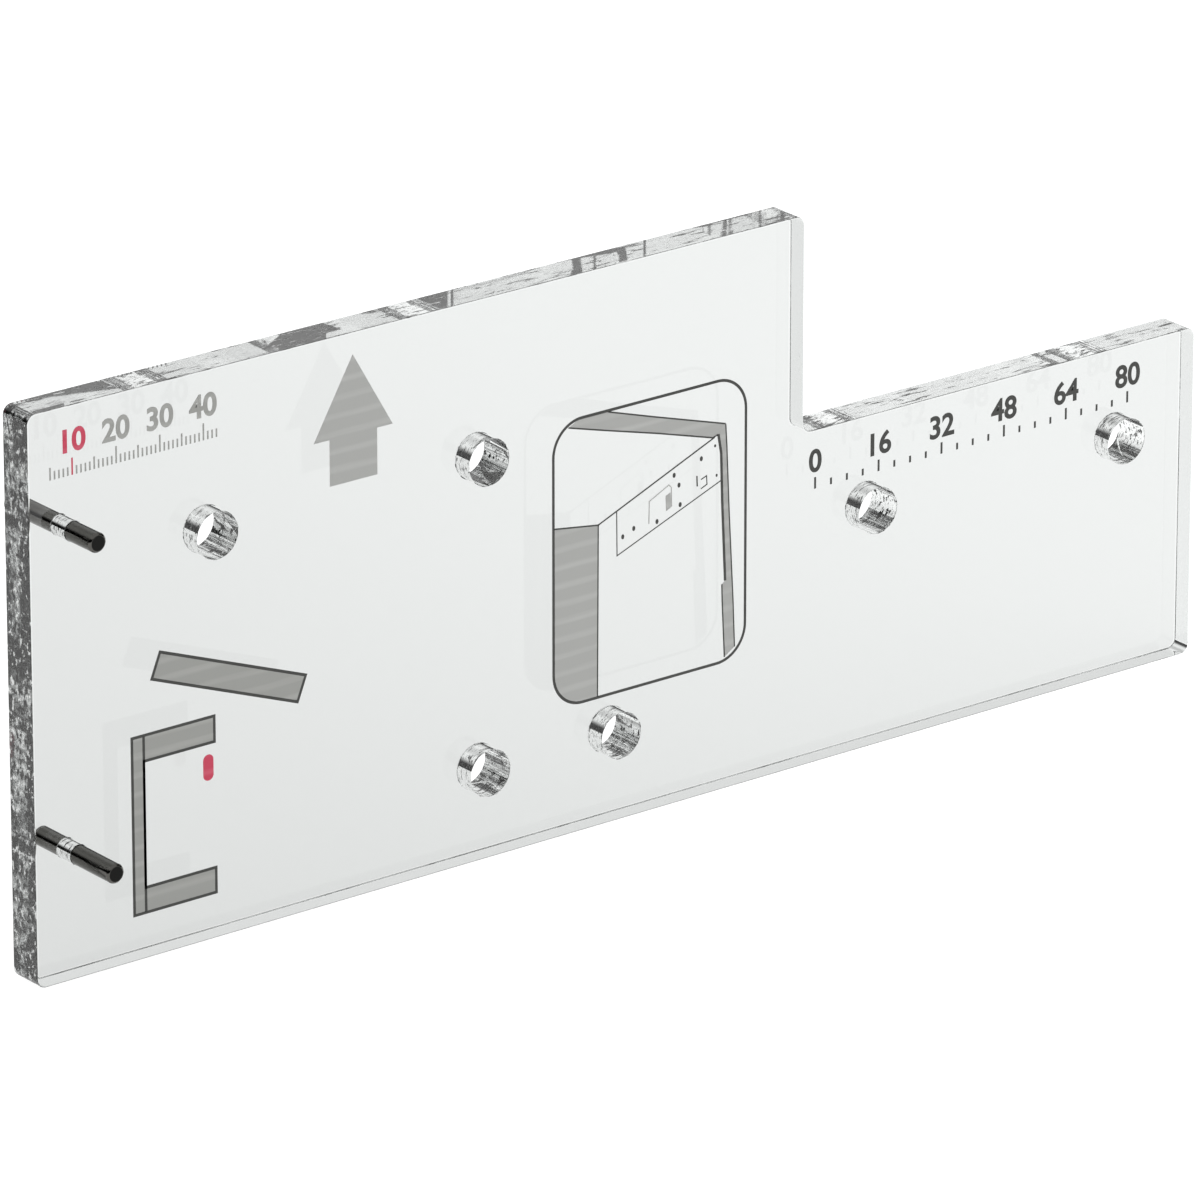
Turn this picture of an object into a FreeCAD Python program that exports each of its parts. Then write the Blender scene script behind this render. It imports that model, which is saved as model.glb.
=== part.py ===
import FreeCAD, Part

# Drilling jig: a clear L-shaped plate that stands on its long edge, with six
# guide holes on a 32 mm grid and two stop pins that push through it.
# Millimetres. X runs along the plate, -Y is its printed front, +Z is up.
# The origin is under the middle of the plate, on the edge that it stands on.

import os

import Sketcher

DRIVING_SIZES = {
    "plate_length": 284.5,
    "plate_height": 115.0,
    "plate_thickness": 8.0,
    "tall_length": 184.0,
    "low_height": 70.0,
    "corner_radius": 2.0,
    "notch_radius": 2.0,
    "edge_break": 0.3,
    "grid_pitch": 32.0,
    "first_column": 43.0,
    "last_column": 17.5,
    "first_row": 17.5,
    "guide_bore": 9.5,
    "pin_from_end": 10.0,
    "pin_from_edge": 25.0,
    "pin_diameter": 4.0,
    "pin_length": 28.0,
    "pin_clearance": 0.05,
    "pin_chamfer": 0.4,
    "upper_pin_reach": 8.0,
    "lower_pin_reach": 12.0,
}

# The guide holes, each as grid steps along and up. The four under the tall end are
# counted from the first column, and the two under the low end back from the last.
TALL_END_STEPS = [(0, 2), (2, 2), (2, 0), (3, 0)]
LOW_END_STEPS = [(2, 1), (0, 1)]

# A point this near to a line or plane lies on it.
NEAR = 1e-4

doc = FreeCAD.newDocument("drilling_jig")


def make_sheet():
    """One spreadsheet row for each driving size, named by its alias."""
    page = doc.addObject("Spreadsheet::Sheet", "Sizes")
    for row, (name, value) in enumerate(DRIVING_SIZES.items(), start=1):
        page.set(f"A{row}", name)
        page.set(f"B{row}", str(value))
        page.setAlias(f"B{row}", name)
    doc.recompute()
    return page


sheet = make_sheet()


def size(name):
    """The value of a driving size as the sheet holds it."""
    return float(getattr(sheet, name))


def origin_plane(body, role):
    """The body's own origin plane with that role."""
    for feature in body.Origin.OriginFeatures:
        if feature.Role == role:
            return feature
    raise RuntimeError(f"{body.Name} has no {role}")


def make_body(label):
    body = doc.addObject("PartDesign::Body", label)
    body.Label = label
    return body


def face_sketch(body, name):
    """A sketch in the plane of the plate: its x is X and its y is Z."""
    sketch = body.newObject("Sketcher::SketchObject", name)
    sketch.AttachmentSupport = [(origin_plane(body, "XZ_Plane"), "")]
    sketch.MapMode = "FlatFace"
    return sketch


def bind_last(sketch, expression):
    """Ties the constraint added last to a formula in the sheet's sizes."""
    sketch.setExpression(f"Constraints[{sketch.ConstraintCount - 1}]", expression)


def sketch_centre_distance(sketch, circle, along, value, expression):
    """Places a circle's centre from the sketch's origin; along is X or Y."""
    sketch.addConstraint(Sketcher.Constraint(f"Distance{along}", -1, 1, circle, 3, value))
    bind_last(sketch, expression)


def sketch_circle(sketch, place, diameter, formulas):
    """A circle whose place and diameter follow formulas (across, up, diameter)."""
    across, up = place
    centre = FreeCAD.Vector(across, up, 0)
    circle = sketch.addGeometry(Part.Circle(centre, FreeCAD.Vector(0, 0, 1), diameter / 2))
    sketch_centre_distance(sketch, circle, "X", across, formulas[0])
    sketch_centre_distance(sketch, circle, "Y", up, formulas[1])
    sketch.addConstraint(Sketcher.Constraint("Diameter", circle, diameter))
    bind_last(sketch, formulas[2])


def guide_circle(sketch, across, across_formula, rows):
    """A guide hole at that place along the plate, on a row of the grid."""
    up = size("first_row") + rows * size("grid_pitch")
    formulas = (
        across_formula,
        f"Sizes.first_row + {rows} * Sizes.grid_pitch",
        "Sizes.guide_bore",
    )
    sketch_circle(sketch, (across, up), size("guide_bore"), formulas)


def draw_outline(sketch):
    """The plate's outline: a rectangle with one corner stepped down."""
    left = -size("plate_length") / 2
    right = size("plate_length") / 2
    riser = left + size("tall_length")
    corners = [
        FreeCAD.Vector(left, 0, 0),
        FreeCAD.Vector(right, 0, 0),
        FreeCAD.Vector(right, size("low_height"), 0),
        FreeCAD.Vector(riser, size("low_height"), 0),
        FreeCAD.Vector(riser, size("plate_height"), 0),
        FreeCAD.Vector(left, size("plate_height"), 0),
    ]
    count = len(corners)
    for step in range(count):
        sketch.addGeometry(Part.LineSegment(corners[step], corners[(step + 1) % count]))
    for step in range(count):
        sketch.addConstraint(Sketcher.Constraint("Coincident", step, 2, (step + 1) % count, 1))
        turn = "Horizontal" if step % 2 == 0 else "Vertical"
        sketch.addConstraint(Sketcher.Constraint(turn, step))
    bottom, right_end, top, left_end = 0, 1, 4, 5
    sketch.addConstraint(Sketcher.Constraint("PointOnObject", bottom, 1, -1))
    sketch.addConstraint(Sketcher.Constraint("DistanceX", bottom, 1, -1, 1, -left))
    bind_last(sketch, "Sizes.plate_length / 2")
    lengths = [
        ("DistanceX", bottom, 1, "plate_length"),
        ("DistanceY", right_end, 1, "low_height"),
        ("DistanceX", top, 2, "tall_length"),
        ("DistanceY", left_end, 2, "plate_height"),
    ]
    for kind, line, start, name in lengths:
        end = 3 - start
        sketch.addConstraint(Sketcher.Constraint(kind, line, start, line, end, size(name)))
        bind_last(sketch, f"Sizes.{name}")


def corner_edges(shape, inner):
    """Names of the edges that run through the plate at its outer corners, or at the inner one."""
    riser = size("tall_length") - size("plate_length") / 2
    shelf = size("low_height")
    names = []
    for number, edge in enumerate(shape.Edges, start=1):
        box = edge.BoundBox
        if box.XLength > NEAR or box.ZLength > NEAR:
            continue
        at_inner = abs(box.XMin - riser) < NEAR and abs(box.ZMin - shelf) < NEAR
        if at_inner == inner:
            names.append(f"Edge{number}")
    return names


def rim_edges(shape):
    """Names of the edges of the front and back faces."""
    half = size("plate_thickness") / 2
    names = []
    for number, edge in enumerate(shape.Edges, start=1):
        box = edge.BoundBox
        if box.YLength < NEAR and abs(abs(box.YMin) - half) < NEAR:
            names.append(f"Edge{number}")
    return names


def dress(body, kind, name, base, edges, measure, alias):
    """A fillet or chamfer on edges of the base, with its size bound to the sheet."""
    feature = body.newObject(f"PartDesign::{kind}", name)
    feature.Base = (base, edges)
    feature.setExpression(measure, f"Sizes.{alias}")
    doc.recompute()
    return feature


def cut_through(body, name, sketch):
    """Cuts the sketch's circles through the whole plate, both ways from its middle."""
    before = body.Shape.Volume
    pocket = body.newObject("PartDesign::Pocket", name)
    pocket.Profile = sketch
    pocket.Type = "ThroughAll"
    pocket.Midplane = True
    doc.recompute()
    if pocket.Shape.Volume >= before:
        raise RuntimeError(f"{name} removed nothing")
    return pocket


def build_plate():
    body = make_body("jig_plate")
    outline = face_sketch(body, "plate_outline")
    draw_outline(outline)

    slab = body.newObject("PartDesign::Pad", "plate_slab")
    slab.Profile = outline
    slab.Midplane = True
    slab.setExpression("Length", "Sizes.plate_thickness")
    doc.recompute()

    outer = corner_edges(slab.Shape, inner=False)
    rounded = dress(body, "Fillet", "outer_corners", slab, outer, "Radius", "corner_radius")
    inner = corner_edges(rounded.Shape, inner=True)
    notched = dress(body, "Fillet", "notch_corner", rounded, inner, "Radius", "notch_radius")
    rims = rim_edges(notched.Shape)
    dress(body, "Chamfer", "broken_edges", notched, rims, "Size", "edge_break")

    guides = face_sketch(body, "guide_centres")
    for columns, rows in TALL_END_STEPS:
        across = size("first_column") + columns * size("grid_pitch") - size("plate_length") / 2
        formula = f"Sizes.first_column + {columns} * Sizes.grid_pitch - Sizes.plate_length / 2"
        guide_circle(guides, across, formula, rows)
    for columns, rows in LOW_END_STEPS:
        across = size("plate_length") / 2 - size("last_column") - columns * size("grid_pitch")
        formula = f"Sizes.plate_length / 2 - Sizes.last_column - {columns} * Sizes.grid_pitch"
        guide_circle(guides, across, formula, rows)
    cut_through(body, "guide_holes", guides)

    seats = face_sketch(body, "pin_centres")
    across = size("pin_from_end") - size("plate_length") / 2
    bore = size("pin_diameter") + 2 * size("pin_clearance")
    rows = {
        "Sizes.plate_height - Sizes.pin_from_edge": size("plate_height") - size("pin_from_edge"),
        "Sizes.pin_from_edge": size("pin_from_edge"),
    }
    for up_formula, up in rows.items():
        formulas = (
            "Sizes.pin_from_end - Sizes.plate_length / 2",
            up_formula,
            "Sizes.pin_diameter + 2 * Sizes.pin_clearance",
        )
        sketch_circle(seats, (across, up), bore, formulas)
    cut_through(body, "pin_holes", seats)
    return body


def build_pin(label, height_formula, reach_alias):
    """A ground dowel along Y that stands out of the front by its reach."""
    body = make_body(label)
    end = face_sketch(body, f"{label}_section")
    radius = size("pin_diameter") / 2
    circle = end.addGeometry(Part.Circle(FreeCAD.Vector(), FreeCAD.Vector(0, 0, 1), radius))
    end.addConstraint(Sketcher.Constraint("Coincident", circle, 3, -1, 1))
    end.addConstraint(Sketcher.Constraint("Diameter", circle, 2 * radius))
    bind_last(end, "Sizes.pin_diameter")

    rod = body.newObject("PartDesign::Pad", f"{label}_rod")
    rod.Profile = end
    rod.Midplane = True
    rod.setExpression("Length", "Sizes.pin_length")
    doc.recompute()

    half = size("pin_length") / 2
    ends = [
        f"Edge{number}"
        for number, edge in enumerate(rod.Shape.Edges, start=1)
        if abs(abs(edge.BoundBox.YMin) - half) < NEAR and edge.BoundBox.YLength < NEAR
    ]
    dress(body, "Chamfer", f"{label}_ends", rod, ends, "Size", "pin_chamfer")

    body.setExpression("Placement.Base.x", "Sizes.pin_from_end - Sizes.plate_length / 2")
    body.setExpression("Placement.Base.z", height_formula)
    body.setExpression(
        "Placement.Base.y",
        f"Sizes.pin_length / 2 - Sizes.{reach_alias} - Sizes.plate_thickness / 2",
    )
    doc.recompute()
    return body


def check(pieces):
    """Stops on a failed object, or on a piece whose shape is not one sound solid."""
    for item in doc.Objects:
        if "Invalid" in item.State or "Error" in item.State:
            raise RuntimeError(f"{item.Name} failed: {item.State}")
    for piece in pieces:
        shape = piece.Shape
        if shape.isNull() or not shape.isValid() or len(shape.Solids) != 1:
            raise RuntimeError(f"{piece.Label} is not one sound solid")


def write(pieces):
    os.makedirs("parts", exist_ok=True)
    for piece in pieces:
        piece.Shape.exportStep(f"parts/{piece.Label}.step")
        box = piece.Shape.BoundBox
        print(
            f"{piece.Label}: volume {piece.Shape.Volume:.1f} mm3,"
            f" x {box.XMin:.2f} to {box.XMax:.2f}, y {box.YMin:.2f} to {box.YMax:.2f},"
            f" z {box.ZMin:.2f} to {box.ZMax:.2f}"
        )


jig_pieces = [
    build_plate(),
    build_pin("upper_stop_pin", "Sizes.plate_height - Sizes.pin_from_edge", "upper_pin_reach"),
    build_pin("lower_stop_pin", "Sizes.pin_from_edge", "lower_pin_reach"),
]
doc.recompute()
check(jig_pieces)
write(jig_pieces)
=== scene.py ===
import math

import bpy
import numpy as np
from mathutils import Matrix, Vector
from mathutils.geometry import delaunay_2d_cdt


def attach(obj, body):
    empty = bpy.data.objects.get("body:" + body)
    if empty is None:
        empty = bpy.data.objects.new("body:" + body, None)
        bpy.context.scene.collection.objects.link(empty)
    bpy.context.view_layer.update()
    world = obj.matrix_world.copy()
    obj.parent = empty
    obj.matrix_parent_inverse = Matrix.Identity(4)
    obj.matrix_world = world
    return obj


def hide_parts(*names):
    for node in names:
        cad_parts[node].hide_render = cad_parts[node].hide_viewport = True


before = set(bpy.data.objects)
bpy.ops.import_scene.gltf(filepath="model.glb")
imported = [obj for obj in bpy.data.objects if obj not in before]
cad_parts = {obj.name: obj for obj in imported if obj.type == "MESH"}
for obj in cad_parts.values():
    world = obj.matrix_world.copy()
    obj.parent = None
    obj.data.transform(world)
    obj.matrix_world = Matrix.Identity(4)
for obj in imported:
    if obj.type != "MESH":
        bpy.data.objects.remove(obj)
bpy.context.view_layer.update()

# Looks of a clear acrylic drilling jig: the polished plate, its two stop pins and the print on
# its front. Sizes are in millimetres until a mesh is laid. There u runs along the plate from its
# left end and v up from the edge that it stands on.

MM = 0.001
PLATE_LENGTH, PLATE_HEIGHT, PLATE_THICKNESS = 284.5, 115.0, 8.0
TALL_LENGTH, LOW_HEIGHT = 184.0, 70.0
CORNER_RADIUS = 2.0
EDGE_BREAK, RIM_BREAK = 0.3, 0.12
GRID_PITCH, FIRST_COLUMN, FIRST_ROW = 32.0, 43.0, 17.5
GUIDE_STEPS = [(0, 2), (2, 2), (2, 0), (3, 0), (5, 1), (7, 1)]
GUIDE_HOLES = [(FIRST_COLUMN + GRID_PITCH * c, FIRST_ROW + GRID_PITCH * r) for c, r in GUIDE_STEPS]
GUIDE_BORE = 9.5
UPPER_PIN_HOLE, LOWER_PIN_HOLE = (10.0, 90.0), (10.0, 25.0)
PIN_BORE, PIN_DIAMETER, PIN_LENGTH = 4.1, 4.0, 28.0
PIN_CHAMFER, PIN_SOFTENING = 0.4, 0.08
UPPER_PIN_REACH, LOWER_PIN_REACH = 8.0, 12.0
FRONT = -PLATE_THICKNESS / 2

# How coarse the cutter left each wall, which the acrylic reads from the mesh. The same value sets how much
# painted shade and painted highlight each wall carries as dark and pale patches, most on the top edges,
# the bores and the sawn end.
CAST_FACE, POLISHED_EDGE, UPPER_EDGE, BORED_WALL, SAWN_END = 0.0, 0.35, 0.85, 0.9, 1.0

# The ink wets the face, so its slab reaches a little to either side of it. Lines lie over fields.
FIELD_NEAR, FIELD_FAR = FRONT - 0.02, FRONT + 0.02
LINE_NEAR, LINE_FAR = FRONT - 0.03, FRONT + 0.015
BROAD_LINE, FINE_LINE, HAIR_LINE = 0.6, 0.32, 0.24

# Patterns, as marks a metre along the plate, through it and up it.
MARKS_PER_METRE = (0.15 / MM, 1.0 / MM, 0.65 / MM)
SCRATCHES_PER_METRE = (0.3 / MM, 9.0 / MM, 0.3 / MM)
STREAKS_PER_METRE = (0.045 / MM, 0.045 / MM, 0.9 / MM)
# A band wave turns 20 radians over each unit of its scale, and a seam comes every full turn.
SEAM_SPACING = 3.6
SEAM_SCALE = 2 * math.pi / (20 * SEAM_SPACING * MM)
# The share of light lost over a short way through the plate, for each metre of it.
SWALLOWED_PER_METRE = 1.3


def place(u, v, depth):
    """Row-frame metres of plate millimetres: x = u less half the length, y = depth, z = v."""
    u, v, depth = np.broadcast_arrays(u, v, depth)
    return np.stack([u - PLATE_LENGTH / 2, depth, v], -1).astype(float) * MM


def lay_mesh(name, points, quads=(), others=(), normals=None, groups=None):
    """A mesh object from metre points, quad and other faces, and a normal for each face corner."""
    mesh = bpy.data.meshes.new(name)
    faces = [list(map(int, quad)) for quad in quads] + [list(map(int, face)) for face in others]
    mesh.from_pydata(points.tolist(), [], faces)
    mesh.polygons.foreach_set("use_smooth", np.full(len(faces), normals is not None))
    if groups is not None:
        mesh.polygons.foreach_set("material_index", np.asarray(groups, np.int32))
    if normals is not None:
        mesh.normals_split_custom_set(normals.tolist())
    mesh.update()
    piece = bpy.data.objects.new(name, mesh)
    bpy.context.scene.collection.objects.link(piece)
    return piece


def strip_quads(index):
    """Quads between each row of points and the next, with every row closed into a ring."""
    after = np.roll(index, -1, axis=1)
    return np.stack([index[:-1], index[1:], after[1:], after[:-1]], -1).reshape(-1, 4)


# The plate


def plate_outline(steps=14):
    """Points and outward normals round the stepped outline, anticlockwise from the front.

    Each corner is centre + radius (cos a, sin a), with a going a quarter turn on from its start.
    The inner corner turns back, so its outward normal points to its centre.
    """
    r = CORNER_RADIUS
    centres = np.array(
        [
            (r, r),
            (PLATE_LENGTH - r, r),
            (PLATE_LENGTH - r, LOW_HEIGHT - r),
            (TALL_LENGTH + r, LOW_HEIGHT + r),
            (TALL_LENGTH - r, PLATE_HEIGHT - r),
            (r, PLATE_HEIGHT - r),
        ]
    )
    start = np.radians([180, 270, 0, 270, 0, 90])
    turn = np.array([1, 1, 1, -1, 1, 1])
    share = np.linspace(0, np.pi / 2, steps)
    angle = start[:, None] + turn[:, None] * share
    spoke = np.stack([np.cos(angle), np.sin(angle)], -1)
    points = centres[:, None] + r * spoke
    normals = turn[:, None, None] * spoke
    return points.reshape(-1, 2), normals.reshape(-1, 2)


def bore_outline(centre, diameter, segments):
    """Points and normals round a hole, clockwise from the front: centre + radius (cos a, -sin a)."""
    angle = np.linspace(0, 2 * np.pi, segments, endpoint=False)
    spoke = np.stack([np.cos(angle), -np.sin(angle)], -1)
    return np.array(centre) + diameter / 2 * spoke, -spoke


def through_wall(outline, outward, rounding, steps=5):
    """The wall that an outline leaves through the plate, with both its rims rounded.

    Over a rim the angle goes from a quarter turn to zero: the inset is r - r cos a and the depth
    is the face's plus r - r sin a. The wall point is outline - inset * outward, and the normal is
    cos a outward and sin a towards the face. With the wall come its front and back rims' point
    numbers, and the outline of the rim.
    """
    angle = np.linspace(np.pi / 2, 0, steps)
    inset = rounding * (1 - np.cos(angle))
    depth = FRONT + rounding * (1 - np.sin(angle))
    inset = np.concatenate([inset, inset[::-1]])
    depth = np.concatenate([depth, -depth[::-1]])
    across = np.concatenate([np.cos(angle), np.cos(angle)[::-1]])
    facing = np.concatenate([-np.sin(angle), np.sin(angle)[::-1]])
    ring = outline[None] - inset[:, None, None] * outward[None]
    points = place(ring[..., 0], ring[..., 1], depth[:, None])
    lean = across[:, None, None] * outward[None]
    facing = np.broadcast_to(facing[:, None], lean.shape[:2])
    normals = np.stack([lean[..., 0], facing, lean[..., 1]], -1)
    index = np.arange(ring.shape[0] * ring.shape[1]).reshape(ring.shape[:2])
    return points.reshape(-1, 3), normals.reshape(-1, 3), strip_quads(index), index[0], index[-1], ring[0]


def within(outline, points):
    """True where a line from the point towards the right crosses the outline an odd number of times."""
    start, end = outline, np.roll(outline, -1, axis=0)
    u, v = points[:, :1], points[:, 1:]
    spans = (start[:, 1] > v) != (end[:, 1] > v)
    rise = np.where(end[:, 1] == start[:, 1], 1.0, end[:, 1] - start[:, 1])
    crossing = start[:, 0] + (v - start[:, 1]) * (end[:, 0] - start[:, 0]) / rise
    return (spans & (u < crossing)).sum(1) % 2 == 1


def cap_triangles(rims, holes):
    """Triangles of the flat face between the outer rim and the hole rims, anticlockwise.

    The rims' points are joined by Delaunay's rule, and a triangle stays where its middle lies
    within the outer rim and further from every hole's centre than the hole's radius.
    """
    flat = np.concatenate(rims)
    starts = np.cumsum([0] + [len(rim) for rim in rims])
    edges = [
        (int(first + i), int(first + (i + 1) % (last - first)))
        for first, last in zip(starts[:-1], starts[1:])
        for i in range(last - first)
    ]
    corners = [Vector(point) for point in flat.tolist()]
    found = delaunay_2d_cdt(corners, edges, [list(range(starts[1]))], 1, 1e-6, True)
    source = np.array([first[0] for first in found[3]])
    triangles = source[np.array(found[2])]
    middle = flat[triangles].mean(1)
    wanted = within(rims[0], middle)
    for (u, v), diameter in holes:
        wanted &= np.hypot(middle[:, 0] - u, middle[:, 1] - v) > diameter / 2
    return triangles[wanted]


def make_plate():
    """The plate as one closed skin: a wall for each outline and the two flat faces between them."""
    holes = [(centre, GUIDE_BORE, 120) for centre in GUIDE_HOLES]
    holes += [(centre, PIN_BORE, 72) for centre in (UPPER_PIN_HOLE, LOWER_PIN_HOLE)]
    walls = [through_wall(*plate_outline(), EDGE_BREAK)]
    walls += [through_wall(*bore_outline(*hole), RIM_BREAK) for hole in holes]
    offset = np.cumsum([0] + [len(wall[0]) for wall in walls])
    points = np.concatenate([wall[0] for wall in walls])
    point_normals = np.concatenate([wall[1] for wall in walls])
    quads = np.concatenate([wall[2] + o for wall, o in zip(walls, offset)])
    front_ring = np.concatenate([wall[3] + o for wall, o in zip(walls, offset)])
    back_ring = np.concatenate([wall[4] + o for wall, o in zip(walls, offset)])
    cap = cap_triangles([wall[5] for wall in walls], [hole[:2] for hole in holes])
    front, back = front_ring[cap], back_ring[cap][:, ::-1]
    backward = np.tile([0.0, 1.0, 0.0], (3 * len(cap), 1))
    normals = np.concatenate([point_normals[quads.ravel()], -backward, backward])
    piece = lay_mesh("acrylic_plate", points, quads, np.concatenate([front, back]), normals)
    facing = point_normals[quads[: len(walls[0][2])]].mean(1)
    # The top edges, the bores and the sawn end get the highest values, and so the most painted shade and
    # painted highlight patches.
    upper = np.where(facing[:, 2] > 0.7, UPPER_EDGE, POLISHED_EDGE)
    edges = np.where(facing[:, 0] < -0.7, SAWN_END, upper)
    bores = np.full(len(quads) - len(edges), BORED_WALL)
    faces = np.full(2 * len(cap), CAST_FACE)
    cut = piece.data.attributes.new("cut_and_painted_shade", "FLOAT", "FACE")
    cut.data.foreach_set("value", np.concatenate([edges, bores, faces]).astype(np.float32))
    return piece


# The pins


def make_pin(name, centre, reach, segments=96):
    """A ground dowel: a profile of (depth, radius) turned about the pin's axis.

    The profile runs from the middle of one end, over a chamfer with softened corners, to the
    middle of the other end. A point is centre + radius (cos a, sin a) at its depth. Its two ends
    have a material of their own.
    """
    radius_full, chamfer, soft = PIN_DIAMETER / 2, PIN_CHAMFER, PIN_SOFTENING
    half = PIN_LENGTH / 2
    front_half = np.array(
        [
            (-half, 0.02),
            (-half, radius_full - chamfer - soft),
            (-half + 0.3 * soft, radius_full - chamfer),
            (-half + chamfer - 0.7 * soft, radius_full - 0.7 * soft),
            (-half + chamfer + soft, radius_full),
        ]
    )
    lean = np.radians([90, 90, 60, 30, 0])
    depth = np.concatenate([front_half[:, 0], -front_half[::-1, 0]]) + FRONT - reach + half
    radius = np.concatenate([front_half[:, 1], front_half[::-1, 1]])
    facing = np.concatenate([-np.sin(lean), np.sin(lean)[::-1]])
    outward = np.concatenate([np.cos(lean), np.cos(lean)[::-1]])
    angle = np.linspace(0, 2 * np.pi, segments, endpoint=False)
    along = radius[:, None] * np.cos(angle)
    up = radius[:, None] * np.sin(angle)
    points = place(centre[0] + along, centre[1] + up, depth[:, None])
    facing = np.broadcast_to(facing[:, None], along.shape)
    normals = np.stack([outward[:, None] * np.cos(angle), facing, outward[:, None] * np.sin(angle)], -1)
    index = np.arange(along.size).reshape(along.shape)
    quads = strip_quads(index)
    ends = [index[0], index[-1][::-1]]
    corner_normals = normals.reshape(-1, 3)[quads.ravel()]
    end_normals = np.repeat([[0.0, -1.0, 0.0], [0.0, 1.0, 0.0]], segments, axis=0)
    groups = np.zeros(len(quads) + 2, int)
    groups[:segments] = groups[len(quads) - segments :] = 1
    all_normals = np.concatenate([corner_normals, end_normals])
    return lay_mesh(name, points.reshape(-1, 3), quads, ends, all_normals, groups)


# The print


def ink_field(outline):
    """A flat slab of ink with that outline of (u, v): two faces and the wall between them."""
    outline = np.array(outline, float)
    after = np.roll(outline, -1, axis=0)
    if np.sum(outline[:, 0] * after[:, 1] - outline[:, 1] * after[:, 0]) < 0:
        outline = outline[::-1]
    count = len(outline)
    points = np.concatenate([place(*outline.T, FIELD_NEAR), place(*outline.T, FIELD_FAR)])
    i = np.arange(count)
    j = np.roll(i, -1)
    wall = np.stack([i, i + count, j + count, j], -1)
    return points, wall.tolist(), [i.tolist(), (i[::-1] + count).tolist()]


def ink_line(path, width, closed=False):
    """A drawn line: a flat strip of ink of that width carried along a path, mitred at its turns.

    The offset at a point is the mean of its two runs' normals, divided by the cosine of half the turn.
    """
    path = np.array(path, float)
    step = np.roll(path, -1, axis=0) - path
    step /= np.linalg.norm(step, axis=1, keepdims=True)
    before = np.roll(step, 1, axis=0)
    if not closed:
        step[-1] = step[-2]
        before[0] = step[0]
    side = np.stack([-step[:, 1], step[:, 0]], -1)
    mitre = side + np.stack([-before[:, 1], before[:, 0]], -1)
    mitre /= np.sum(mitre * side, axis=1, keepdims=True)
    left, right = path + mitre * width / 2, path - mitre * width / 2
    near = [place(*right.T, LINE_NEAR), place(*left.T, LINE_NEAR)]
    far = [place(*left.T, LINE_FAR), place(*right.T, LINE_FAR)]
    ring = np.stack(near + far, 1)
    index = np.arange(4 * len(path)).reshape(-1, 4)
    here, there = (index, np.roll(index, -1, axis=0)) if closed else (index[:-1], index[1:])
    quads = np.stack([here, there, np.roll(there, -1, axis=1), np.roll(here, -1, axis=1)], -1)
    ends = [] if closed else [index[0].tolist(), index[-1][::-1].tolist()]
    return ring.reshape(-1, 3), quads.reshape(-1, 4).tolist(), ends


def ink_figures(text, u, foot, height, weight):
    """Plain figures of that height, centred on u, as one slab of ink."""
    letters = bpy.data.curves.new("figures", "FONT")
    letters.body = text
    letters.align_x = "CENTER"
    letters.size = 1.0
    letters.resolution_u = 6
    letters.offset = weight
    letters.extrude = 0.5
    holder = bpy.data.objects.new("figures", letters)
    bpy.context.scene.collection.objects.link(holder)
    solved = holder.evaluated_get(bpy.context.evaluated_depsgraph_get())
    made = bpy.data.meshes.new_from_object(solved)
    flat = np.zeros(len(made.vertices) * 3)
    made.vertices.foreach_get("co", flat)
    flat = flat.reshape(-1, 3)
    low, high = flat[:, 1].min(), flat[:, 1].max()
    scale = height / (high - low)
    depth = np.where(flat[:, 2] > 0, LINE_NEAR, LINE_FAR)
    points = place(u + flat[:, 0] * scale, foot + (flat[:, 1] - low) * scale, depth)
    faces = [list(polygon.vertices) for polygon in made.polygons]
    bpy.data.objects.remove(holder)
    bpy.data.curves.remove(letters)
    bpy.data.meshes.remove(made)
    return points, [], faces


def ink_dot(u, v, wide, tall):
    """An oval spot of ink: centre + (half the width cos a, half the height sin a)."""
    angle = np.linspace(0, 2 * np.pi, 20, endpoint=False)
    return ink_field(np.stack([u + wide / 2 * np.cos(angle), v + tall / 2 * np.sin(angle)], -1))


def ink_tick(u, foot, height, width):
    """One upright mark of a scale."""
    left, right = u - width / 2, u + width / 2
    return ink_field([(left, foot), (right, foot), (right, foot + height), (left, foot + height)])


def rounded_box(left, foot, right, top, radius, steps=10):
    """A rectangle's outline with rounded corners: each is centre + radius (cos a, sin a)."""
    low, high = foot + radius, top - radius
    inner_left, inner_right = left + radius, right - radius
    centres = np.array([(inner_right, high), (inner_left, high), (inner_left, low), (inner_right, low)])
    angle = np.radians([0, 90, 180, 270])[:, None] + np.linspace(0, np.pi / 2, steps)
    spoke = np.stack([np.cos(angle), np.sin(angle)], -1)
    return (centres[:, None] + radius * spoke).reshape(-1, 2)


def make_print(name, parts, inks):
    """One motif of the print: its fields and lines joined, each with the number of its ink.

    Each ink is a pair: its open top, and its underside, seen through the acrylic. The underside is
    much darker: a little of that is the wetting acrylic, and the rest is painted shade.
    """
    points, quads, others, quad_inks, other_inks = [], [], [], [], []
    count = 0
    for (part_points, part_quads, part_others), ink in parts:
        points.append(part_points)
        quads += [[i + count for i in face] for face in part_quads]
        others += [[i + count for i in face] for face in part_others]
        quad_inks += [ink] * len(part_quads)
        other_inks += [ink] * len(part_others)
        count += len(part_points)
    face_inks = np.array(quad_inks + other_inks)
    piece = lay_mesh(name, np.concatenate(points), quads, others, groups=face_inks)
    normal = np.zeros(3 * len(piece.data.polygons))
    piece.data.polygons.foreach_get("normal", normal)
    # Faces turned into the plate get the darker underside inks: painted shade.
    shaded_underside = normal[1::3] > 0.5
    piece.data.polygons.foreach_set("material_index", (face_inks + len(inks) * shaded_underside).astype(np.int32))
    for ink in [top for top, underside in inks] + [underside for top, underside in inks]:
        piece.data.materials.append(ink)
    return piece


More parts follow.
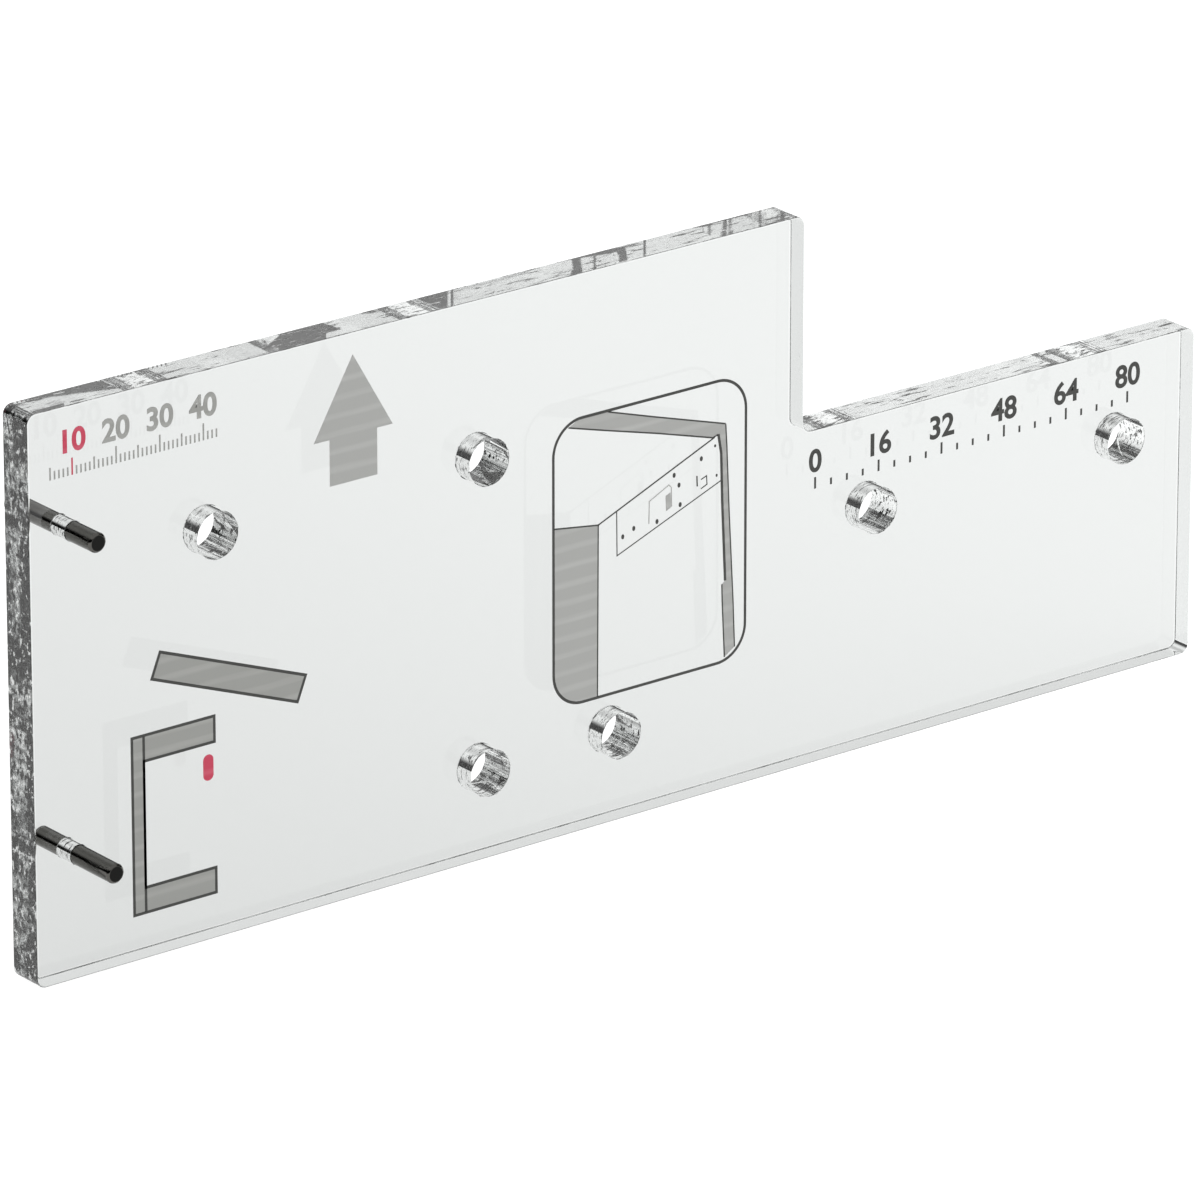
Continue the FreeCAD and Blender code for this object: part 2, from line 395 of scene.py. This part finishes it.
def edge_scale():
    """A millimetre scale from the left end. The stop pins' own line has the second ink."""
    own_line = UPPER_PIN_HOLE[0]
    parts = []
    for u in range(5, 44):
        height = 3.4 if u % 10 == 0 else 2.5 if u % 5 == 0 else 1.7
        parts.append((ink_tick(u, 101.2, height, 0.36), int(u == own_line)))
    for u in (10, 20, 30, 40):
        parts.append((ink_figures(str(u), u, 105.7, 4.8, 0.03), int(u == own_line)))
    return parts


def row_scale():
    """A scale over the low end, in fours, with a long mark and a figure at every sixteenth."""
    start = 187.0
    parts = []
    for step in range(0, 81, 4):
        parts.append((ink_tick(start + step, 57.8, 2.4 if step % 16 == 0 else 1.4, 0.5), 0))
    for step in range(0, 81, 16):
        parts.append((ink_figures(str(step), start + step, 61.2, 4.9, 0.025), 0))
    return parts


# The picture's outlines: a cabinet's corner, with a jig like this one small against its side.
CABINET_SIDE = [
    (122.65, 64.2), (133.3, 62.6), (133.1, 27.1), (129.4, 27.1),
    (126.6, 27.7), (124.3, 29.3), (123.0, 31.8), (122.65, 34.0),
]
CABINET_TOP = [
    (126.1, 84.2), (128.0, 85.1), (130.0, 85.4), (135.8, 85.3), (146.9, 81.8),
    (164.6, 76.4), (162.8, 74.6), (161.4, 74.2), (148.1, 78.1), (134.6, 81.8),
]
REAR_LEFT = [
    (162.8, 74.6), (163.5, 70.6), (163.8, 60.5), (164.6, 43.8),
    (163.8, 43.2), (163.9, 39.6), (164.5, 27.8),
]
REAR_RIGHT = [(164.6, 76.3), (164.9, 71.7), (165.5, 58.5), (166.6, 39.0), (167.0, 29.4)]
SMALL_HOLES = [
    (139.3, 58.8), (142.0, 59.9), (147.7, 60.0), (151.9, 68.6), (153.1, 66.3), (153.4, 62.2), (158.6, 70.5),
]
SMALL_PINS = [(162.0, 72.4), (162.4, 66.2)]
SMALL_FRAME = [(145.7, 60.0), (145.8, 64.6), (150.6, 66.9), (151.2, 66.3), (151.3, 62.3)]
SMALL_STRIP = [(149.8, 64.8), (151.0, 65.3), (151.2, 62.2), (149.9, 61.6)]
SMALL_BRACKET = [(158.5, 66.2), (159.9, 66.7), (160.0, 64.9), (158.5, 64.3)]


def cabinet_picture():
    """The cabinet's side, top and rear post in the first ink, and its lines in the second."""
    parts = [(ink_field(CABINET_SIDE), 0), (ink_field(CABINET_TOP), 0)]
    parts.append((ink_field(REAR_RIGHT + REAR_LEFT[::-1]), 0))
    parts.append((ink_line(CABINET_SIDE[:3], FINE_LINE), 1))
    parts.append((ink_line(CABINET_TOP[6:] + CABINET_TOP[:1], FINE_LINE), 1))
    parts.append((ink_line(CABINET_TOP[3:6], FINE_LINE), 1))
    parts.append((ink_line(REAR_RIGHT, FINE_LINE), 1))
    parts.append((ink_line(REAR_LEFT[:4], BROAD_LINE), 1))
    parts.append((ink_line(REAR_LEFT[4:], FINE_LINE), 1))
    parts.append((ink_line([(133.3, 62.6), (161.9, 74.2)], FINE_LINE), 1))
    parts.append((ink_line([(137.8, 64.3), (137.9, 55.2), (163.5, 64.9)], HAIR_LINE), 1))
    parts += [(ink_dot(u, v, 0.75, 1.05), 1) for u, v in SMALL_HOLES]
    parts += [(ink_dot(u, v, 0.5, 0.65), 1) for u, v in SMALL_PINS]
    parts.append((ink_line(SMALL_FRAME, HAIR_LINE), 0))
    parts.append((ink_field(SMALL_STRIP), 0))
    parts.append((ink_line([(157.5, 67.2), (157.6, 65.0)], FINE_LINE), 1))
    parts.append((ink_line(SMALL_BRACKET, HAIR_LINE), 1))
    return parts


ARROW = [(74.8, 110.6), (65.5, 94.6), (69.2, 94.6), (69.2, 85.2), (80.4, 85.2), (80.4, 94.6), (84.1, 94.6)]
DOOR = [(29.3, 61.3), (63.1, 48.5), (61.1, 43.5), (27.3, 56.3)]
SECTION = [
    (22.5, 45.4), (41.6, 45.4), (41.6, 40.2), (25.2, 40.2),
    (25.2, 14.5), (41.6, 14.5), (41.6, 9.4), (22.5, 9.4),
]


def cabinet_section():
    """A cut through a cabinet: its front board and its two side boards, with their outline."""
    return [
        (ink_field(SECTION), 0),
        (ink_line(SECTION, BROAD_LINE, closed=True), 1),
        (ink_line([(25.2, 45.2), (25.2, 9.6)], BROAD_LINE), 1),
    ]


# Materials


def linear(code):
    """Linear colour of an sRGB hex code: c / 12.92 up to 0.04045, else ((c + 0.055) / 1.055) ** 2.4."""
    srgb = np.array([int(code[i : i + 2], 16) for i in (1, 3, 5)]) / 255
    rgb = np.where(srgb <= 0.04045, srgb / 12.92, ((srgb + 0.055) / 1.055) ** 2.4)
    return (*rgb.tolist(), 1.0)


def add_node(tree, kind, settings=None, inputs=None):
    """Adds a node, sets its settings, and fills each input with a value or a link."""
    node = tree.nodes.new(kind)
    for key, value in (settings or {}).items():
        setattr(node, key, value)
    for key, value in (inputs or {}).items():
        if isinstance(value, bpy.types.NodeSocket):
            tree.links.new(value, node.inputs[key])
        else:
            node.inputs[key].default_value = value
    return node


def start_material(name):
    """An empty material, its tree, and the object coordinates of the piece."""
    material = bpy.data.materials.new(name)
    material.use_nodes = True
    tree = material.node_tree
    tree.nodes.clear()
    spot = add_node(tree, "ShaderNodeTexCoord").outputs["Object"]
    return material, tree, spot


def finish_material(tree, inputs, body=None):
    """Ends the tree with the shader, and with what fills the piece if it lets light through."""
    shader = add_node(tree, "ShaderNodeBsdfPrincipled", None, inputs)
    ends = {"Surface": shader.outputs[0]}
    if body is not None:
        ends["Volume"] = body
    add_node(tree, "ShaderNodeOutputMaterial", None, ends)


def cast_acrylic(name, face_colour, wall_colour, sawn_end_shade_colour, painted_shade_patch, painted_glint_patch, roughness, mark_height):
    """Cast acrylic sheet, of refractive index 1.49, as glossy as the glass that it was cast on.

    Its walls were left by a cutter, as coarse as the mesh's attribute says, from zero on the faces
    to one on the sawn end, which is dull. The faces are tinted grey, a painted shade that darkens what
    is seen through them, and the walls are paler. Over the walls lie dark patches, painted shade for
    the dark surroundings that the edges refract, and pale patches, painted highlights: the sawn end is
    speckled with both and tinted grey as painted shade, and the polished edges carry a few. The marks,
    which both bump the walls and place the patches, are noise of 0.15 marks a millimetre along the
    plate, 1.0 through it and 0.65 up it, with finer ones in them, as coarse as they need to be to show.
    Where the noise falls under 0.09 + 0.38 cut the wall is painted dark, and where it rises over
    0.79 - 0.2 cut it is painted pale, and neither patch lets light through.
    The body swallows a little light on the way, so the plate darkens over long paths.
    """
    material, tree, spot = start_material(name)
    cut = add_node(tree, "ShaderNodeAttribute", {"attribute_name": "cut_and_painted_shade"}).outputs["Fac"]
    drawn = add_node(tree, "ShaderNodeMapping", None, {"Vector": spot, "Scale": MARKS_PER_METRE})
    marks = add_node(
        tree,
        "ShaderNodeTexNoise",
        None,
        {"Vector": drawn.outputs[0], "Scale": 1.0, "Detail": 4.0, "Roughness": 0.72},
    ).outputs["Fac"]
    is_cut = add_node(tree, "ShaderNodeMath", {"operation": "GREATER_THAN"}, {0: cut, 1: 0.3}).outputs[0]
    under = add_node(tree, "ShaderNodeMath", {"operation": "MULTIPLY_ADD"}, {0: cut, 1: -0.38, 2: marks})
    # Dark patches, opaque and nearly black: painted shade for the dark surroundings that the edges refract.
    dark = add_node(
        tree,
        "ShaderNodeMapRange",
        None,
        {"Value": under.outputs[0], "From Min": 0.11, "From Max": 0.07, "To Max": is_cut},
    ).outputs[0]
    # Pale patches, opaque and nearly white: painted highlights.
    over = add_node(tree, "ShaderNodeMath", {"operation": "MULTIPLY_ADD"}, {0: cut, 1: 0.2, 2: marks})
    pale = add_node(
        tree,
        "ShaderNodeMapRange",
        None,
        {"Value": over.outputs[0], "From Min": 0.77, "From Max": 0.82, "To Max": is_cut},
    ).outputs[0]
    # The sawn end's grey tint: painted shade.
    sawn = add_node(
        tree, "ShaderNodeMapRange", None, {"Value": cut, "From Min": BORED_WALL, "From Max": SAWN_END}
    )
    wall = add_node(
        tree,
        "ShaderNodeMix",
        {"data_type": "RGBA"},
        {"Factor": sawn.outputs[0], 6: linear(wall_colour), 7: linear(sawn_end_shade_colour)},
    )
    shade_painted_wall = add_node(
        tree,
        "ShaderNodeMix",
        {"data_type": "RGBA"},
        {"Factor": dark, 6: wall.outputs[2], 7: linear(painted_shade_patch)},
    )
    glint_painted_wall = add_node(
        tree,
        "ShaderNodeMix",
        {"data_type": "RGBA"},
        {"Factor": pale, 6: shade_painted_wall.outputs[2], 7: linear(painted_glint_patch)},
    )
    colour = add_node(
        tree,
        "ShaderNodeMix",
        {"data_type": "RGBA"},
        {"Factor": is_cut, 6: linear(face_colour), 7: glint_painted_wall.outputs[2]},
    )
    covered = add_node(tree, "ShaderNodeMath", {"operation": "MAXIMUM"}, {0: dark, 1: pale})
    clear = add_node(tree, "ShaderNodeMath", {"operation": "SUBTRACT"}, {0: 1.0, 1: covered.outputs[0]})
    gloss = add_node(tree, "ShaderNodeMapRange", None, {"Value": cut, "To Min": 0.0, "To Max": roughness})
    bump = add_node(
        tree, "ShaderNodeBump", None, {"Height": marks, "Strength": cut, "Distance": mark_height * MM}
    )
    body = add_node(
        tree, "ShaderNodeVolumeAbsorption", None, {"Color": linear("#003026"), "Density": SWALLOWED_PER_METRE}
    )
    inputs = {
        "Base Color": colour.outputs[2],
        "Transmission Weight": clear.outputs[0],
        "IOR": 1.49,
        "Roughness": gloss.outputs[0],
        "Normal": bump.outputs[0],
    }
    finish_material(tree, inputs, body.outputs[0])
    return material


def pin_steel(name, colour, roughness, scratch_height):
    """Hardened steel, centreless ground, so fine scratches run round it and draw its glints out lengthwise.

    Scratches are 0.11 mm apart along the pin and 3.3 mm long round it. Real ones are finer, and these
    are as coarse as they need to be to show. Between them the roughness goes from 0.8 to 1.3 of its own.
    """
    material, tree, spot = start_material(name)
    rings = add_node(tree, "ShaderNodeMapping", None, {"Vector": spot, "Scale": SCRATCHES_PER_METRE})
    scratches = add_node(
        tree,
        "ShaderNodeTexNoise",
        None,
        {"Vector": rings.outputs[0], "Scale": 1.0, "Detail": 4.0, "Roughness": 0.6},
    ).outputs["Fac"]
    bump = add_node(
        tree, "ShaderNodeBump", None, {"Height": scratches, "Strength": 1.0, "Distance": scratch_height * MM}
    )
    worn = add_node(
        tree,
        "ShaderNodeMapRange",
        None,
        {"Value": scratches, "To Min": roughness * 0.8, "To Max": roughness * 1.3},
    )
    inputs = {
        "Base Color": linear(colour),
        "Metallic": 1.0,
        "Roughness": worn.outputs[0],
        "Normal": bump.outputs[0],
    }
    finish_material(tree, inputs)
    return material


def printed_ink(name, colour, streak_colour):
    """Ultraviolet-cured ink from a flatbed printer, which dries matt and even.

    The print head passes along the plate and leaves a thin paler seam every 3.6 mm. The seams are the
    crests of a wave up the plate, bent by noise that is long along the plate. Between them noise of
    0.045 streaks a millimetre along and 0.9 up leaves short fine streaks.
    """
    material, tree, spot = start_material(name)
    drawn = add_node(tree, "ShaderNodeMapping", None, {"Vector": spot, "Scale": STREAKS_PER_METRE})
    streaks = add_node(
        tree,
        "ShaderNodeTexNoise",
        None,
        {"Vector": drawn.outputs[0], "Scale": 1.0, "Detail": 3.0, "Roughness": 0.6},
    )
    seams = add_node(
        tree,
        "ShaderNodeTexWave",
        {"bands_direction": "Z", "wave_profile": "SIN"},
        {"Vector": spot, "Scale": SEAM_SCALE, "Distortion": 1.6, "Detail": 2.0, "Detail Scale": 0.5},
    )
    both = add_node(
        tree,
        "ShaderNodeMix",
        {"data_type": "FLOAT"},
        {"Factor": 0.45, 2: seams.outputs["Fac"], 3: streaks.outputs["Fac"]},
    )
    ramp = add_node(tree, "ShaderNodeValToRGB", None, {"Fac": both.outputs[0]})
    for element, position, code in zip(ramp.color_ramp.elements, (0.55, 0.84), (colour, streak_colour)):
        element.position = position
        element.color = linear(code)
    finish_material(tree, {"Base Color": ramp.outputs[0], "Roughness": 0.55, "IOR": 1.5})
    return material


def lit_table(name):
    """The opal acrylic top of a light table, sanded matt: it scatters what falls on it and glows evenly.

    Its grain is noise of 0.3 specks a millimetre. The glow rises from 0.93 at the left to 1.15 at the
    right, as one end of the table stands closer to the lamp.
    """
    material, tree, spot = start_material(name)
    grain = add_node(tree, "ShaderNodeTexNoise", None, {"Vector": spot, "Scale": 0.3 / MM, "Detail": 2.0})
    bump = add_node(
        tree, "ShaderNodeBump", None, {"Height": grain.outputs["Fac"], "Strength": 0.2, "Distance": 0.02 * MM}
    )
    along = add_node(tree, "ShaderNodeSeparateXYZ", None, {"Vector": spot})
    glow = add_node(
        tree,
        "ShaderNodeMapRange",
        {"interpolation_type": "SMOOTHSTEP"},
        {"Value": along.outputs["X"], "From Min": -0.2, "From Max": 0.25, "To Min": 0.93, "To Max": 1.15},
    )
    inputs = {
        "Base Color": linear("#898989"),
        "Roughness": 0.9,
        "Normal": bump.outputs[0],
        "Emission Color": linear("#ffffff"),
        "Emission Strength": glow.outputs[0],
    }
    finish_material(tree, inputs)
    material.cycles.emission_sampling = "NONE"
    return material


# Pieces

plate = make_plate()
# The grey face tint and the sawn end's grey are painted shade; the dark and pale patch colours are painted
# shade and painted highlights.
acrylic = cast_acrylic(
    "clear_cast_acrylic",
    face_colour="#d2d4d3",
    wall_colour="#e8eae9",
    sawn_end_shade_colour="#8e908f",
    painted_shade_patch="#141513",
    painted_glint_patch="#eceeed",
    roughness=0.03,
    mark_height=0.006,
)
plate.data.materials.append(acrylic)
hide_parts("jig_plate")
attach(plate, "plate")

ground_barrel = pin_steel("ground_steel_barrel", "#5a5956", 0.12, 0.0006)
dark_end = pin_steel("dark_steel_end", "#1f1f1e", 0.3, 0.002)
for name, node, body, centre, reach in (
    ("upper_pin_dowel", "upper_stop_pin", "upper_pin", UPPER_PIN_HOLE, UPPER_PIN_REACH),
    ("lower_pin_dowel", "lower_stop_pin", "lower_pin", LOWER_PIN_HOLE, LOWER_PIN_REACH),
):
    pin = make_pin(name, centre, reach)
    pin.data.materials.append(ground_barrel)
    pin.data.materials.append(dark_end)
    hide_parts(node)
    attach(pin, body)

# The underside inks are darker copies of the top inks: painted shade, with a little real darkening where the
# acrylic wets them.
grey_underside_shade = printed_ink("grey_ink_underside_shade", "#3a3b38", "#454643")
dark_underside_shade = printed_ink("dark_ink_underside_shade", "#2a2b29", "#333431")
red_underside_shade = printed_ink("red_ink_underside_shade", "#6d2635", "#78303f")
mid_ink = (printed_ink("mid_grey_ink", "#a7a8a4", "#b4b5b1"), grey_underside_shade)
pale_ink = (printed_ink("pale_grey_ink", "#b6b7b4", "#c2c3c0"), grey_underside_shade)
dark_ink = (printed_ink("dark_grey_ink", "#3c3d3a", "#444542"), dark_underside_shade)
red_ink = (printed_ink("red_ink", "#d8405e", "#de5a72"), red_underside_shade)

lamp_mark = rounded_box(38.9, 32.6, 41.3, 37.9, 1.15)
picture_frame = rounded_box(122.4, 26.9, 169.6, 85.6, 7.0, 16)
for name, parts, inks in (
    ("edge_scale_print", edge_scale(), [mid_ink, red_ink]),
    ("row_scale_print", row_scale(), [dark_ink]),
    ("cabinet_picture_print", cabinet_picture(), [pale_ink, dark_ink]),
    ("arrow_print", [(ink_field(ARROW), 0)], [pale_ink]),
    ("door_print", [(ink_field(DOOR), 0), (ink_line(DOOR, BROAD_LINE, closed=True), 1)], [mid_ink, dark_ink]),
    ("cabinet_section_print", cabinet_section(), [mid_ink, dark_ink]),
    ("lamp_mark_print", [(ink_field(lamp_mark), 0)], [red_ink]),
    ("picture_frame_print", [(ink_line(picture_frame, BROAD_LINE, closed=True), 0)], [dark_ink]),
):
    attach(make_print(name, parts, inks), "plate")

# Stage, light and camera


def table_top():
    """The light table, 60 m wide so that it fills every view, a hair under the jig's foot."""
    half, height = 30.0, -0.05 * MM
    mesh = bpy.data.meshes.new("floor")
    corners = [(-half, -half, height), (half, -half, height), (half, half, height), (-half, half, height)]
    mesh.from_pydata(corners, [], [(0, 1, 2, 3)])
    mesh.materials.append(lit_table("lit_table"))
    table = bpy.data.objects.new("floor", mesh)
    bpy.context.scene.collection.objects.link(table)
    return table


def overhead_softbox():
    """A soft lamp 90 degrees across, over the jig and a little before it."""
    lamp = bpy.data.lights.new("overhead_softbox", "SUN")
    lamp.angle = math.radians(90)
    lamp.energy = 1.2
    holder = bpy.data.objects.new("overhead_softbox", lamp)
    holder.rotation_euler = (math.radians(25), 0.0, 0.0)
    bpy.context.scene.collection.objects.link(holder)


def studio_round():
    """The room: dark at the table's height, bright from 20 to 35 degrees up, and dim before the jig.

    The height is z + 0.3 x on the left side and z on the right, so the bright band rises to the left.
    """
    world = bpy.data.worlds.new("studio")
    world.use_nodes = True
    tree = world.node_tree
    tree.nodes.clear()
    toward = add_node(tree, "ShaderNodeTexCoord").outputs["Generated"]
    axes = add_node(tree, "ShaderNodeSeparateXYZ", None, {"Vector": toward})
    leftward = add_node(tree, "ShaderNodeMath", {"operation": "MINIMUM"}, {0: axes.outputs["X"], 1: 0.0})
    height = add_node(
        tree,
        "ShaderNodeMath",
        {"operation": "MULTIPLY_ADD"},
        {0: leftward.outputs[0], 1: 0.3, 2: axes.outputs["Z"]},
    )
    rise = add_node(tree, "ShaderNodeValToRGB", None, {"Fac": height.outputs[0]})
    first, last = rise.color_ramp.elements
    first.position, last.position = 0.10, 0.88
    first.color = (0.008, 0.008, 0.008, 1.0)
    last.color = (0.35, 0.35, 0.35, 1.0)
    for position, level in ((0.20, 0.27), (0.35, 0.84), (0.55, 1.0), (0.70, 0.6)):
        rise.color_ramp.elements.new(position).color = (level, level, level, 1.0)
    behind = add_node(
        tree,
        "ShaderNodeMapRange",
        None,
        {"Value": axes.outputs["Y"], "From Min": -0.2, "From Max": 0.3, "To Min": 0.12, "To Max": 1.3},
    )
    background = add_node(
        tree, "ShaderNodeBackground", None, {"Color": rise.outputs[0], "Strength": behind.outputs[0]}
    )
    add_node(tree, "ShaderNodeOutputWorld", None, {"Surface": background.outputs[0]})
    bpy.context.scene.world = world


def photo_camera():
    """A camera at the photograph's viewing angle, a long way back so that its lens draws little in depth.

    It stands at aim + reach * (-sin yaw cos rise, -cos yaw cos rise, sin rise).
    """
    yaw, rise, reach = math.radians(37.78), math.radians(21.13), 2.173
    aim = Vector((-0.00513, 0.00036, 0.04489))
    back = Vector((-math.sin(yaw) * math.cos(rise), -math.cos(yaw) * math.cos(rise), math.sin(rise)))
    lens = bpy.data.cameras.new("camera")
    lens.lens = 336.2
    lens.sensor_width = 36.0
    camera = bpy.data.objects.new("camera", lens)
    camera.location = aim + back * reach
    camera.rotation_mode = "QUATERNION"
    camera.rotation_quaternion = (-back).to_track_quat("-Z", "Y")
    bpy.context.scene.collection.objects.link(camera)
    return camera


table_top()
overhead_softbox()
studio_round()
bpy.context.scene.camera = photo_camera()
bpy.context.scene.view_settings.view_transform = "Standard"

# Light that is caught between the polished faces takes many turns before it leaves.
TURNS = 40
paths = bpy.context.scene.cycles
paths.max_bounces = TURNS
paths.glossy_bounces = TURNS
paths.transmission_bounces = TURNS
